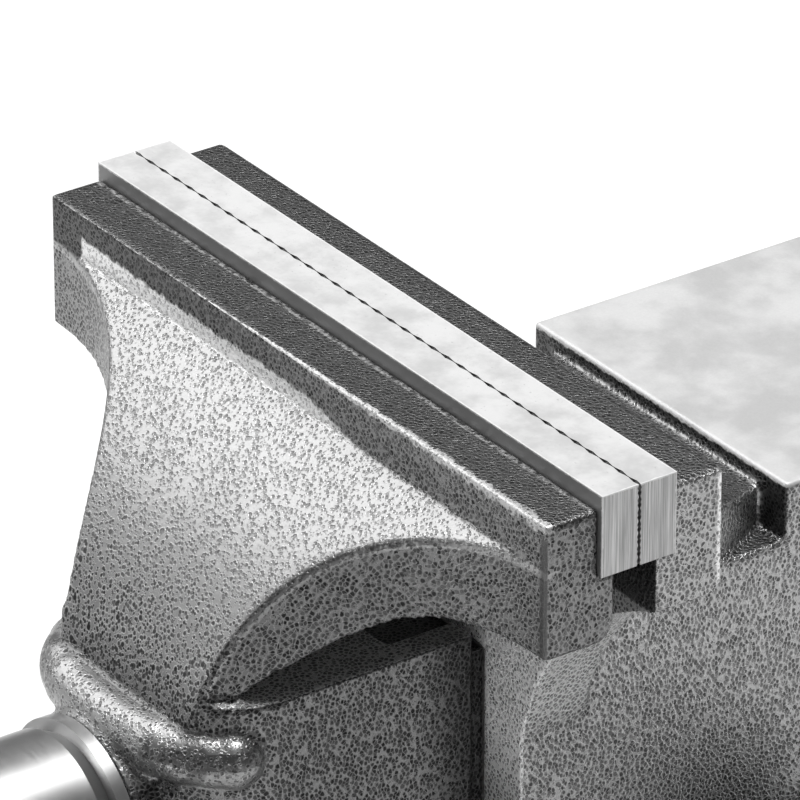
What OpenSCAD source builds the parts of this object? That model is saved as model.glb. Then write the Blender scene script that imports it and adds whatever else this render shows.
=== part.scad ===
// Swivel bench vise: a cast body with a sliding front jaw, on a base that turns.
// Units are millimetres. Z points up, X runs along the jaws and -Y faces the user.
// The origin is on the swivel axis, on the underside of the base.

/* [Jaws] */
// Width of both jaws
jaw_w = 152; // [140:1:170]
// Distance from the swivel axis forward to the seam of the closed jaws
jaw_offset = 62; // [60:1:66]
// Height of a jaw bar
jaw_bar_h = 24; // [22:0.5:27]
// Thickness of the casting behind a jaw plate
jaw_wall = 10.8; // [9:0.2:13]
// Thickness of a jaw plate
plate_t = 7.7; // [7:0.1:9]
// Height of a jaw plate
plate_h = 15.6; // [15:0.1:17]
// How far a plate stands above its jaw
plate_proud = 3; // [1:0.1:3.2]
// How far a plate sticks out past each end of its jaw
plate_overhang = 0.9; // [0:0.1:2]
// Depth of the ledge that carries a plate
plate_ledge = 3.5; // [2:0.1:5]
// Gap left between the closed plates
jaw_gap = 0.2; // [0.1:0.05:0.6]
// Distance between serration grooves along the jaw
serration_pitch = 4.2; // [3.6:0.1:6]
// Depth of the serration grooves
serration_depth = 0.3; // [0.2:0.05:0.5]
// Width of the serration grooves
serration_w = 1.7; // [1:0.1:1.7]

/* [Plate screws] */
// Distance between the two screws of a plate
plate_screw_span = 92; // [60:1:110]
// Diameter of a plate screw
plate_screw_d = 6; // [5:0.5:6]
// Diameter of its countersunk head
plate_screw_head_d = 12; // [10:0.5:12]

/* [Moving jaw] */
// Longest opening between the plates
jaw_travel = 120; // [90:6:126]
// Radius of the horn's rounded front, seen from the side
horn_r = 68; // [66:0.5:72]
// Radius of the coves under the jaw's wings, seen from above
cove_r = 61.7; // [58:0.5:64]
// Height of the plain band above the horn
band_h = 9; // [7:0.5:11]
// Distance from the seam to the middle of the nose
nose_reach = 58; // [56:0.5:62]
// Radius of the nose's front, seen from above
nose_r = 70; // [64:1:90]
// Radius of the nose's corners, seen from above
corner_r = 18; // [14:0.5:20]
// Radius of the half-round bead round the nose
bead_r = 5; // [4:0.5:7]
// Thickness of the wall behind the nose
nose_wall = 22; // [20:0.5:24]

/* [Slide and housing] */
// Width of the slide
slide_w = 52; // [50:0.5:54]
// Height of the slide
slide_h = 44; // [43:0.5:47]
// Thickness of the slide's side walls
slide_wall = 7.5; // [6:0.1:7.5]
// Thickness of the slide's roof
slide_roof = 6; // [5:0.1:6]
// Height of the plate tops above the slide
throat = 57; // [54:0.5:60]
// Running gap between slide and housing
slide_gap = 0.4; // [0.3:0.05:0.6]
// Width of the housing and of the anvil
house_w = 76.4; // [74:0.2:84]
// Thickness of the housing above the slide
house_roof = 8.4; // [8:0.2:11]
// Thickness of the housing's floor
floor_t = 10; // [9:0.5:14]
// Distance from the swivel axis back to the rear of the housing
house_back = 68; // [64:1:72]
// Height of the anvil above the housing
anvil_h = 11.4; // [8:0.2:12]
// Radius of the saddle between rear jaw and anvil, seen from the side
saddle_r = 52; // [50:1:56]

/* [Swivel] */
// Height of the base
base_h = 24; // [23:0.5:30]
// Radius of the base
base_r = 80; // [79:0.5:84]
// Thickness of the swivel flange
flange_t = 14; // [12:0.5:18]
// Radius of the swivel flange
flange_r = 78; // [76:0.5:79]
// Height of the waist between flange and housing
waist_h = 15.4; // [14:0.2:20]
// Width of the waist
waist_w = 62; // [58:1:64]
// Diameter of the spigot on which the body turns
spigot_d = 40; // [36:0.5:42]
// Largest swing of the body to either side
swivel_limit = 60; // [40:1:62]
// Diameter of the circle through the base's bolt holes
lug_pcd = 184; // [180:1:196]
// Diameter of the base's bolt holes
lug_hole_d = 13; // [10:0.5:14]

/* [Swivel locks] */
// Distance of each lock bolt from the swivel axis
lock_reach = 62; // [61:0.5:63]
// Diameter of a lock bolt
lock_d = 12; // [10:0.5:12]
// Length of a lock lever
lever_l = 62; // [45:1:80]
// Rise of a lock lever above the level
lever_rise = 22; // [15:1:30]

/* [Lead screw] */
// Diameter of the thread
thread_d = 24; // [22:0.5:24]
// Lead of the thread
thread_lead = 6; // [5:0.5:6]
// Depth of the thread
thread_depth = 2.6; // [2:0.1:2.8]
// Diameter of the plain journal in the nose
journal_d = 25; // [25:0.25:26]
// Diameter of the screw's head
head_d = 36; // [34:0.5:40]
// Length of the screw's head
head_l = 34; // [30:0.5:38]
// Length of the lead nut
nut_l = 36; // [32:1:36]

/* [Handle] */
// Diameter of the handle bar
handle_d = 16; // [14:0.5:17]
// Length of the handle over its knobs
handle_l = 220; // [190:2:260]
// Diameter of a handle knob
knob_d = 27; // [25:0.5:32]

/* [Hidden] */
$fn = 96;

// Clearances
eps = 0.5;
far = 400;
turn_fit = 0.05;
seat_fit = 0.03;
swivel_gap = 0.2;
face_gap = 0.1;
loose = 0.3;

// Steps between neighbouring features
screw_rise = 20;
anvil_gap = 43;
roof_back = 13.5;
cheek_back = 1;
nut_gap = 8;
tail_l = 4;
slide_tail = 6;
horn_back = 12;
horn_drop = 72.5;
cheek_drop = 52;
wing_drop = 2;
bead_rise = 10;
bead_out = 4;
boss_step = 1;
pocket_floor = 13.6;
pocket_gap = 2;
flank_inset = 0.9;
saddle_run = 3;

// Colours
paint = [0.36, 0.37, 0.38];
ground = [0.80, 0.80, 0.79];
steel = [0.62, 0.62, 0.62];
dark = [0.25, 0.25, 0.26];

// Heights, stacked up from the underside
flange_z0 = base_h + swivel_gap;
flange_z1 = flange_z0 + flange_t;
house_z0 = flange_z1 + waist_h;
tunnel_z0 = house_z0 + floor_t;
slide_z0 = tunnel_z0 + slide_gap;
slide_z1 = slide_z0 + slide_h;
tunnel_z1 = slide_z1 + slide_gap;
house_z1 = tunnel_z1 + house_roof;
anvil_z1 = house_z1 + anvil_h;
plate_z1 = slide_z1 + throat;
plate_z0 = plate_z1 - plate_h;
jaw_z1 = plate_z1 - plate_proud;
bar_z0 = jaw_z1 - jaw_bar_h;
front_bar_z0 = bar_z0 - wing_drop;
screw_z = slide_z0 + screw_rise;

// Positions along the screw, front to back
seam_y = -jaw_offset;
front_wall_y = seam_y - jaw_gap / 2 - plate_t;
front_face_y = front_wall_y - jaw_wall;
front_ledge_y = front_wall_y + plate_ledge;
rear_wall_y = seam_y + jaw_gap / 2 + plate_t;
rear_face_y = rear_wall_y + jaw_wall;
rear_ledge_y = rear_wall_y - plate_ledge;
flank_back_y = rear_face_y - flank_inset;
anvil_y0 = rear_face_y + anvil_gap;
saddle_y1 = anvil_y0 + saddle_run;
nose_y = seam_y - nose_reach;
boss_h = bead_out + boss_step;
boss_y = nose_y - boss_h;
nose_back_y = nose_y + nose_wall;
box_back_y = seam_y + cheek_back;
roof_end_y = seam_y - roof_back;

// Thread and nut
nut_y0 = seam_y + nut_gap;
nut_y1 = nut_y0 + nut_l;
thread_y0 = nut_y0 - thread_lead;
thread_y1 = nut_y1 + jaw_travel + thread_lead / 2;
tail_y1 = thread_y1 + tail_l;
tail_relief = 0.6;
slide_end_y = thread_y1 + slide_tail;
thread_seg = 20;
root_flat = 0.32 * thread_lead;
flank = 0.18 * thread_lead;
thread_gap = 0.35;
flank_gap = 0.28;

// Moving jaw details
horn_cy = seam_y + horn_back;
horn_cz = plate_z1 - horn_drop;
box_z1 = plate_z1 - cheek_drop;
box_w = slide_w + 4;
cheek_t = 6;
cavity_w = slide_w - 2 * slide_wall;
cavity_z1 = slide_z1 - slide_roof;
bar_round = 4;
web_w = 28;
under_angle = 43.7;
under_start = 10.8;
under_r = 10;
under_y0 = nose_y + under_start;
under_y1 = under_y0 + (front_bar_z0 - box_z1) / tan(under_angle);
under_run = under_r * tan(under_angle / 2);
wing_back_y = front_wall_y - bar_round / 2;
bead_in = bead_r - bead_out;
bead_swell = 0.3;
bead_break = 1;
bead_stop = 30;
bead_cy = nose_y + nose_r;
corner_x = box_w / 2 - corner_r;
corner_path = nose_r - corner_r;
corner_turn = asin(corner_x / corner_path);
corner_y = bead_cy - corner_path * cos(corner_turn);
tangent_x = nose_r * sin(corner_turn);
bead_z = horn_cz + bead_rise;
boss_d = head_d + 2 * boss_step;

// Fixed jaw details
flare_dx = 18.3;
flare_dz = 54.4;
flare_r = sqrt(flare_dx * flare_dx + flare_dz * flare_dz);
saddle_drop = 3.2;
saddle_neck = 58;
saddle_narrow = 15.6;
end_round = 8;
shoulder_r = 10;
web_z0 = house_z0 + 2 * shoulder_r;
house_round = 8;
waist_y0 = rear_ledge_y + 2;
waist_y1 = house_back - 10;
waist_round = 14;
waist_fillet = 9;
pocket_w = 40;
pocket_wall = 8;
pocket_z1 = tunnel_z0 - pocket_floor;
spigot_h = 14;
pad_r = 14;
pad_h = 2;

// Base details
lug_count = 4;
lug_r = 17;
lug_t = 15;
lug_pad_h = 1;
lug_pad_w = 6;
lug_root = 12;
base_bore_r = spigot_d / 2 + turn_fit;
base_round = 3;
slot_r = lock_d / 2 + 0.6;
lock_head = 19;
lock_head_h = 8;
tee_z1 = 12;
tee_half_w = lock_head / 2 + 1.5;
slot_swing = swivel_limit + 1;
tee_swing = swivel_limit + 11;

// Lock details
lock_z0 = tee_z1 - loose - lock_head_h;
washer_t = 2.5;
lock_washer_w = 7.2;
lock_washer_z = flange_z1 + pad_h;
lock_nut_z = lock_washer_z + washer_t + face_gap;
lock_nut_h = 20;
lock_nut_r = 14;
lock_nut_bevel = 2;
lock_bolt_z1 = lock_nut_z + lock_nut_h + 3;
lever_d = 10;
lever_ball_d = 18;
lever_in = 9;
lever_turn = 40;
lever_level = 9;
lever_gap = 0.2;

// Screw details
bore_r = journal_d / 2 + turn_fit;
head_y1 = boss_y - face_gap - washer_t;
head_y0 = head_y1 - head_l;
cross_y = head_y0 + head_l * 0.46;
cross_r = handle_d / 2 + loose;
head_bevel = 3;
journal_y1 = thread_y0 + 3;
screw_washer_r = 17;
spring_y0 = nose_back_y + face_gap + washer_t;
spring_l = 15.5;
spring_y1 = spring_y0 + spring_l;
pin_d = 5;
pin_l = 33;
pin_wall = 1;
pin_slot = 0.8;
pin_y = spring_y1 + washer_t + pin_d / 2 + face_gap;
wire_d = 2.8;
coil_r = journal_d / 2 + wire_d / 2 + 0.7;
coils = 3.5;
coil_seg = 20;
wire_seg = 8;

// Nut details
nut_w = cavity_w - 2;
nut_z1 = cavity_z1 - 1;
nut_bolt_d = 10;
nut_bolt_y = (nut_y0 + nut_y1) / 2;
nut_bolt_af = 17;
nut_bolt_head_h = 7;
nut_washer_t = 2;
nut_hole_z1 = screw_z - thread_d / 2 - thread_gap - 0.9;

// Handle details
bar_half = handle_l / 2 - knob_d / 2 - knob_d * 0.32;
spigot_r = handle_d * 0.37;
knob_x = handle_l / 2 - knob_d / 2;
knob_in = knob_x + knob_d * 0.2;

// Plate screw details
screw_head_sunk = 0.9;
plate_screw_z = (plate_z0 + plate_z1) / 2 - plate_proud * 0.25;
screw_share = 0.8;
hole_share = 0.85;
plate_screw_l = plate_t + jaw_wall * screw_share;
hex_key = 4;
hex_deep = 2.2;
groove_angle = 29;
groove_run = plate_h / tan(groove_angle);
groove_half = serration_w / 2 * (1 + eps / serration_depth);
groove_n = ceil((jaw_w / 2 + plate_overhang + groove_run) / serration_pitch);

// Profile drawn in X and Z, drawn out from y0 to y1
module along_y(y0, y1) {
    translate([0, y1, 0])
        rotate([90, 0, 0])
            linear_extrude(height = y1 - y0)
                children();
}

// Profile drawn in Y and Z, drawn out to both sides of the middle
module along_x(w) {
    rotate([90, 0, 90])
        linear_extrude(height = w, center = true)
            children();
}

// Plan drawn in X and Y, drawn out from z0 to z1
module along_z(z0, z1) {
    translate([0, 0, z0])
        linear_extrude(height = z1 - z0)
            children();
}

// Flat rectangle between two corners
module rect(a, b) {
    translate(a)
        square(b - a);
}

// Flat rectangle between two corners, all four rounded
module round_rect(a, b, r) {
    rect([a[0] + r, a[1]], [b[0] - r, b[1]]);
    rect([a[0], a[1] + r], [b[0], b[1] - r]);
    for (x = [a[0] + r, b[0] - r])
        for (y = [a[1] + r, b[1] - r])
            translate([x, y])
                circle(r);
}

// Round bar along Y
module rod_y(r, y0, y1) {
    translate([0, y1, 0])
        rotate([90, 0, 0])
            cylinder(r = r, h = y1 - y0);
}

// Round bar along X
module rod_x(r, x0, x1) {
    translate([x0, 0, 0])
        rotate([0, 90, 0])
            cylinder(r = r, h = x1 - x0);
}

// Flat ring along Y on the screw's axis
module ring_y(r0, r1, y0, y1) {
    translate([0, 0, screw_z])
        difference() {
            rod_y(r1, y0, y1);
            rod_y(r0, y0 - eps, y1 + eps);
        }
}

// Arc-shaped slot about the swivel axis
module arc_slot(r_mid, half_w, swing, z0, z1) {
    rotate([0, 0, -swing])
        rotate_extrude(angle = 2 * swing)
            rect([r_mid - half_w, z0], [r_mid + half_w, z1]);
}

// Points of a thread surface: four edges that wind round the axis
function wound(r, s, i) = [
    r * cos(360 * i / thread_seg),
    r * sin(360 * i / thread_seg),
    s + thread_lead * i / thread_seg];

// Solid with a right-hand thread along Z, closed by a fan at each end
module thread_solid(z0, turns, r_root, r_crest, grow) {
    n = ceil(turns * thread_seg);
    w = root_flat - 2 * grow;
    root = [for (i = [0 : n + thread_seg]) wound(r_root, z0 + grow, i)];
    foot = [for (i = [0 : n]) wound(r_root, z0 + grow + w, i)];
    edge = [for (i = [0 : n]) wound(r_crest, z0 + grow + w + flank, i)];
    back = [for (i = [0 : n]) wound(r_crest, z0 + thread_lead - flank + grow, i)];
    f0 = n + thread_seg + 1;
    e0 = f0 + n + 1;
    b0 = e0 + n + 1;
    low = b0 + n + 1;
    high = low + 1;
    ends = [[0, 0, z0 + thread_lead / 2], [0, 0, z0 + thread_lead * (n / thread_seg + 0.5)]];
    strip = [for (i = [0 : n - 1])
        for (q = [[i, i + 1, f0 + i, f0 + i + 1],
                  [f0 + i, f0 + i + 1, e0 + i, e0 + i + 1],
                  [e0 + i, e0 + i + 1, b0 + i, b0 + i + 1],
                  [b0 + i, b0 + i + 1, i + thread_seg, i + thread_seg + 1]])
            for (t = [[q[0], q[2], q[1]], [q[1], q[2], q[3]]]) t];
    low_fan = concat(
        [for (i = [0 : thread_seg - 1]) [low, i, i + 1]],
        [for (q = [[f0, 0], [e0, f0], [b0, e0], [thread_seg, b0]]) [low, q[0], q[1]]]);
    high_fan = concat(
        [for (i = [n : n + thread_seg - 1]) [high, i + 1, i]],
        [for (q = [[n, f0 + n], [f0 + n, e0 + n], [e0 + n, b0 + n], [b0 + n, n + thread_seg]])
            [high, q[0], q[1]]]);
    polyhedron(points = concat(root, foot, edge, back, ends),
        faces = concat(strip, low_fan, high_fan));
}

// Axis of the lead screw, with local Z running backwards
module on_screw() {
    translate([0, 0, screw_z])
        rotate([-90, 0, 0])
            children();
}

// Round base with bolt lugs, arc slots for the lock bolts and a bore for the spigot
module swivel_base() {
    color(paint)
        difference() {
            union() {
                rotate_extrude() {
                    rect([0, 0], [base_r - base_round, base_h]);
                    rect([0, 0], [base_r, base_h - base_round]);
                    translate([base_r - base_round, base_h - base_round])
                        circle(base_round);
                }
                for (i = [0 : lug_count - 1])
                    rotate([0, 0, (i + 0.5) * 360 / lug_count])
                        lug();
            }
            translate([0, 0, -eps])
                cylinder(r = base_bore_r, h = base_h + 2 * eps);
            for (i = [0 : lug_count - 1])
                rotate([0, 0, (i + 0.5) * 360 / lug_count])
                    translate([lug_pcd / 2, 0, -eps])
                        cylinder(d = lug_hole_d, h = base_h + 2 * eps);
            for (side = [0, 180])
                rotate([0, 0, side]) {
                    arc_slot(lock_reach, slot_r, slot_swing, tee_z1 - eps, base_h + eps);
                    arc_slot(lock_reach, tee_half_w, tee_swing, -eps, tee_z1);
                    for (turn = [-slot_swing, slot_swing])
                        rotate([0, 0, turn])
                            translate([lock_reach, 0, tee_z1 - eps])
                                cylinder(r = slot_r, h = base_h);
                }
        }
}

// One bolt lug along X, with a raised pad round its hole
module lug() {
    along_z(0, lug_t) {
        rect([base_r - lug_root, -lug_r], [lug_pcd / 2, lug_r]);
        translate([lug_pcd / 2, 0])
            circle(lug_r);
    }
    translate([lug_pcd / 2, 0, 0])
        cylinder(d = lug_hole_d + 2 * lug_pad_w, h = lug_t + lug_pad_h);
}

// Web under the rear jaw's bar, seen from the front: its flanks flare out to the bar's ends
module flank_shape() {
    difference() {
        rect([-jaw_w / 2, web_z0], [jaw_w / 2, bar_z0]);
        for (side = [-1, 1])
            translate([side * (jaw_w / 2 + flare_dx), bar_z0 - flare_dz])
                circle(flare_r);
    }
}

// Plan with a round cove at each side, starting at the jaw's ends
module cove_plan(y0, y1, cove_y, r) {
    difference() {
        rect([-jaw_w / 2, y0], [jaw_w / 2, y1]);
        for (side = [-1, 1])
            translate([side * jaw_w / 2, cove_y])
                circle(r);
    }
}

// Rear jaw bar with its seat for the plate, seen from the side
module rear_bar_profile() {
    difference() {
        union() {
            rect([rear_ledge_y, bar_z0], [rear_face_y - bar_round, jaw_z1]);
            rect([rear_ledge_y, bar_z0 + bar_round], [rear_face_y, jaw_z1]);
            translate([rear_face_y - bar_round, bar_z0 + bar_round])
                circle(bar_round);
        }
        rect([-far, plate_z0], [rear_wall_y, far]);
    }
}

// Saddle that falls from the rear jaw to the anvil, seen from the side
module saddle_profile() {
    difference() {
        rect([rear_wall_y, web_z0], [saddle_y1, jaw_z1 - band_h]);
        translate([saddle_y1, anvil_z1 - saddle_drop + saddle_r])
            circle(saddle_r);
    }
}

// Saddle seen from above: as wide as the housing, then drawn in to a neck at the anvil
module saddle_plan() {
    polygon([
        [-house_w / 2, rear_wall_y],
        [house_w / 2, rear_wall_y],
        [house_w / 2, anvil_y0 - saddle_narrow],
        [saddle_neck / 2, saddle_y1],
        [-saddle_neck / 2, saddle_y1],
        [-house_w / 2, anvil_y0 - saddle_narrow]]);
}

// Rear upright: flared web, saddle and bar
module rear_upright() {
    along_y(rear_ledge_y, flank_back_y)
        flank_shape();
    along_z(bar_z0 - eps, bar_z0 + bar_round)
        rect([-jaw_w / 2 + end_round, rear_ledge_y], [jaw_w / 2 - end_round, flank_back_y]);
    intersection() {
        along_x(jaw_w)
            saddle_profile();
        along_z(0, far)
            saddle_plan();
    }
    along_x(jaw_w)
        rear_bar_profile();
}

// Waist and its fillets on the flange, seen from the front
module waist_profile() {
    rect([-waist_w / 2, flange_z1 - eps], [waist_w / 2, house_z0 + shoulder_r]);
    difference() {
        rect([-waist_w / 2 - waist_fillet, flange_z1 - eps],
            [waist_w / 2 + waist_fillet, flange_z1 + waist_fillet]);
        for (side = [-1, 1])
            translate([side * (waist_w / 2 + waist_fillet), flange_z1 + waist_fillet])
                circle(waist_fillet);
    }
}

// Body casting: swivel flange, waist, slide housing, anvil and rear jaw
module fixed_jaw() {
    color(paint)
        difference() {
            union() {
                translate([0, 0, flange_z0])
                    cylinder(r = flange_r, h = flange_t);
                translate([0, 0, flange_z0 - spigot_h])
                    cylinder(d = spigot_d, h = spigot_h + eps);
                for (side = [-1, 1])
                    translate([side * lock_reach, 0, flange_z0 + eps])
                        cylinder(r = pad_r, h = flange_t + pad_h - eps);
                along_y(waist_y0 + waist_round / 2, waist_y1 - waist_round / 2)
                    waist_profile();
                along_z(flange_z1 - eps, house_z0 + shoulder_r)
                    round_rect([-waist_w / 2, waist_y0], [waist_w / 2, waist_y1], waist_round);
                intersection() {
                    along_y(rear_ledge_y, house_back) {
                        round_rect([-house_w / 2, house_z0], [house_w / 2, house_z1], shoulder_r);
                        rect([-house_w / 2, web_z0], [house_w / 2, house_z1]);
                    }
                    along_z(0, far)
                        round_rect([-house_w / 2, rear_ledge_y - house_round],
                            [house_w / 2, house_back], house_round);
                }
                along_z(house_z1 - shoulder_r, anvil_z1)
                    difference() {
                        round_rect([-house_w / 2, anvil_y0 - house_round],
                            [house_w / 2, house_back], house_round);
                        rect([-far, -far], [far, anvil_y0]);
                    }
                rear_upright();
            }
            along_y(-far, far)
                rect([-slide_w / 2 - slide_gap, tunnel_z0], [slide_w / 2 + slide_gap, tunnel_z1]);
            for (side = [-1, 1])
                translate([side * lock_reach, 0, 0])
                    cylinder(r = lock_d / 2 + loose, h = lock_washer_z + eps);
            along_z(flange_z0 - eps, pocket_z1) {
                rect([-pocket_w / 2, waist_y0 + pocket_wall], [pocket_w / 2, -spigot_d / 2 - pocket_gap]);
                rect([-pocket_w / 2, spigot_d / 2 + pocket_gap], [pocket_w / 2, waist_y1 - pocket_wall]);
            }
            translate([0, nut_bolt_y, 0])
                cylinder(r = nut_bolt_d / 2 + loose, h = tunnel_z0 + eps);
            plate_screw_holes(rear_wall_y - eps, rear_wall_y + jaw_wall * hole_share);
        }
}

// Tapped holes for the screws of one plate
module plate_screw_holes(y0, y1) {
    for (side = [-1, 1])
        translate([side * plate_screw_span / 2, 0, plate_screw_z])
            rod_y(plate_screw_d / 2 + turn_fit, y0, y1);
}

// Front jaw bar with its seat for the plate, seen from the side
module front_bar_profile() {
    difference() {
        intersection() {
            round_rect([front_face_y, front_bar_z0], [front_ledge_y, jaw_z1 + bar_round], bar_round);
            rect([-far, 0], [far, jaw_z1]);
        }
        rect([front_wall_y, plate_z0], [far, far]);
    }
}

// Space under the front jaw's wings, seen from the side, with a rounded top corner
module under_profile() {
    polygon([
        [under_y0, box_z1 - 2 * eps],
        [under_y0, box_z1],
        [under_y1 - under_run * cos(under_angle), front_bar_z0 - under_run * sin(under_angle)],
        [under_y1 + under_run, front_bar_z0 - under_r],
        [under_y1 + under_run, front_bar_z0],
        [far, front_bar_z0],
        [far, box_z1 - 2 * eps]]);
    translate([under_y1 + under_run, front_bar_z0 - under_r])
        circle(under_r);
}

// Plan of the nose: a gently curved front, round corners and straight sides
module nose_plan() {
    intersection() {
        rect([-tangent_x, nose_y - eps], [tangent_x, corner_y]);
        translate([0, bead_cy])
            circle(nose_r);
    }
    for (side = [-1, 1])
        translate([side * corner_x, corner_y])
            circle(corner_r);
    rect([-box_w / 2, corner_y], [box_w / 2, box_back_y]);
}

// Horn: coved wings, a narrow web and the top of the nose, rounded over at the front
module horn() {
    intersection() {
        along_x(jaw_w)
            intersection() {
                translate([horn_cy, horn_cz])
                    circle(horn_r);
                rect([nose_y - eps, bead_z], [box_back_y, jaw_z1 - band_h]);
            }
        union() {
            intersection() {
                along_x(jaw_w)
                    difference() {
                        rect([nose_y - eps, box_z1 - eps], [wing_back_y, jaw_z1 - band_h]);
                        under_profile();
                    }
                along_z(bead_z, jaw_z1)
                    cove_plan(nose_y - eps, front_wall_y, front_face_y - cove_r, cove_r);
            }
            along_z(box_z1 - eps, jaw_z1)
                rect([-web_w / 2, nose_y], [web_w / 2, front_wall_y]);
            along_z(bead_z, box_z1)
                nose_plan();
        }
    }
}

// Piece of the bead that bends about one centre, from one direction to another
module bead_bend(x, y, r, from, to) {
    translate([x, y, bead_z])
        rotate([0, 0, from + bead_break])
            rotate_extrude(angle = to - from - 2 * bead_break)
                translate([r - bead_in, 0])
                    circle(bead_r);
}

// Half-round bead across the nose and round its corners, a little swollen at the turns and ends
module bead() {
    front_r = nose_r - bead_in;
    side_r = corner_r - bead_in;
    bead_bend(0, bead_cy, nose_r, -90 - corner_turn, -90 + corner_turn);
    bead_bend(corner_x, corner_y, corner_r, -90 + corner_turn, -bead_stop);
    bead_bend(-corner_x, corner_y, corner_r, 180 + bead_stop, 270 - corner_turn);
    for (side = [-1, 1])
        for (at = [[front_r * sin(corner_turn), bead_cy - front_r * cos(corner_turn)],
                   [corner_x + side_r * cos(bead_stop), corner_y - side_r * sin(bead_stop)]])
            translate([side * at[0], at[1], bead_z])
                sphere(bead_r + bead_swell);
}

// Sliding casting: front jaw, horn, nose and hollow slide
module moving_jaw() {
    color(paint)
        difference() {
            union() {
                along_x(jaw_w)
                    front_bar_profile();
                horn();
                along_z(slide_z0, bead_z)
                    nose_plan();
                bead();
                along_y(roof_end_y, slide_end_y)
                    rect([-slide_w / 2, slide_z0], [slide_w / 2, slide_z1]);
                translate([0, 0, screw_z])
                    rod_y(boss_d / 2, boss_y, nose_y + nose_wall / 2);
            }
            along_y(nose_back_y, far)
                rect([-cavity_w / 2, 0], [cavity_w / 2, cavity_z1]);
            along_y(roof_end_y, far)
                rect([-box_w / 2 + cheek_t, slide_z1], [box_w / 2 - cheek_t, box_z1 + eps]);
            translate([0, 0, screw_z])
                rod_y(bore_r, -far, nose_back_y + eps);
            plate_screw_holes(front_wall_y - jaw_wall * hole_share, front_wall_y + eps);
        }
}

// One jaw plate with crossed grooves in its gripping face, which meet along its top edge;
// dir points into the plate
module jaw_plate(face_y, dir) {
    half = jaw_w / 2 + plate_overhang;
    sunk = plate_screw_head_d / 2 + seat_fit;
    difference() {
        translate([-half, min(face_y, face_y + dir * plate_t), plate_z0])
            cube([2 * half, plate_t, plate_h]);
        for (lean = [-groove_angle, groove_angle])
            for (i = [-groove_n : groove_n])
                translate([i * serration_pitch, face_y, plate_z1])
                    rotate([0, lean, 0])
                        along_x(4 * groove_run)
                            polygon([
                                [-dir * eps, -groove_half],
                                [dir * serration_depth, 0],
                                [-dir * eps, groove_half]]);
        for (side = [-1, 1])
            translate([side * plate_screw_span / 2, face_y, plate_screw_z])
                rotate([-90 * dir, 0, 0]) {
                    translate([0, 0, -eps])
                        cylinder(r = plate_screw_d / 2 + loose, h = plate_t + 2 * eps);
                    translate([0, 0, -eps])
                        cylinder(r = sunk, h = screw_head_sunk + eps);
                    translate([0, 0, screw_head_sunk])
                        cylinder(r1 = sunk, r2 = plate_screw_d / 2 + seat_fit,
                            h = sunk - plate_screw_d / 2);
                }
    }
}

// Countersunk screws of one plate
module plate_screws(face_y, dir) {
    r_head = plate_screw_head_d / 2;
    for (side = [-1, 1])
        translate([side * plate_screw_span / 2, face_y, plate_screw_z])
            rotate([-90 * dir, 0, 0])
                difference() {
                    union() {
                        translate([0, 0, screw_head_sunk + seat_fit])
                            cylinder(r1 = r_head, r2 = plate_screw_d / 2,
                                h = r_head - plate_screw_d / 2);
                        translate([0, 0, screw_head_sunk + eps])
                            cylinder(d = plate_screw_d, h = plate_screw_l - screw_head_sunk - eps);
                    }
                    cylinder(d = hex_key, h = screw_head_sunk + hex_deep, $fn = 6);
                }
}

module front_jaw_plate() {
    color(ground)
        jaw_plate(seam_y - jaw_gap / 2, -1);
}

module rear_jaw_plate() {
    color(ground)
        jaw_plate(seam_y + jaw_gap / 2, 1);
}

module front_plate_screws() {
    color(dark)
        plate_screws(seam_y - jaw_gap / 2, -1);
}

module rear_plate_screws() {
    color(dark)
        plate_screws(seam_y + jaw_gap / 2, 1);
}

// Lead screw: drilled head, journal, thread and plain tail
module lead_screw() {
    r_head = head_d / 2;
    r_journal = journal_d / 2;
    color(steel)
        difference() {
            union() {
                on_screw()
                    rotate_extrude()
                        polygon([
                            [0, head_y0],
                            [r_head - head_bevel, head_y0],
                            [r_head, head_y0 + head_bevel],
                            [r_head, head_y1 - head_bevel],
                            [r_head - head_bevel / 2, head_y1],
                            [r_journal, head_y1],
                            [r_journal, journal_y1],
                            [0, journal_y1]]);
                on_screw()
                    thread_solid(thread_y0 - thread_lead,
                        (thread_y1 - thread_y0) / thread_lead,
                        thread_d / 2 - thread_depth, thread_d / 2, 0);
                translate([0, 0, screw_z])
                    rod_y(thread_d / 2 - thread_depth - tail_relief, thread_y1 - 2 * thread_lead, tail_y1);
            }
            translate([0, cross_y, screw_z])
                rod_x(cross_r, -far, far);
            translate([0, pin_y, screw_z])
                rod_x(pin_d / 2 + seat_fit, -far, far);
        }
}

module thrust_washer() {
    color(steel)
        ring_y(journal_d / 2 + loose, head_d / 2 + boss_step, head_y1, head_y1 + washer_t);
}

// Washers at both ends of the screw spring
module spring_washers() {
    color(steel)
        for (y = [nose_back_y + face_gap, spring_y1])
            ring_y(journal_d / 2 + loose, screw_washer_r, y, y + washer_t);
}

// Points of one ring of the spring's wire
function wire_ring(i, n) = let(a = 360 * i / coil_seg, rise = spring_l - wire_d)
    [for (k = [0 : wire_seg - 1])
        let(b = 360 * k / wire_seg, r = coil_r + wire_d / 2 * cos(b))
            [r * cos(a), r * sin(a),
                spring_y0 + wire_d / 2 + rise * i / n + wire_d / 2 * sin(b)]];

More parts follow.
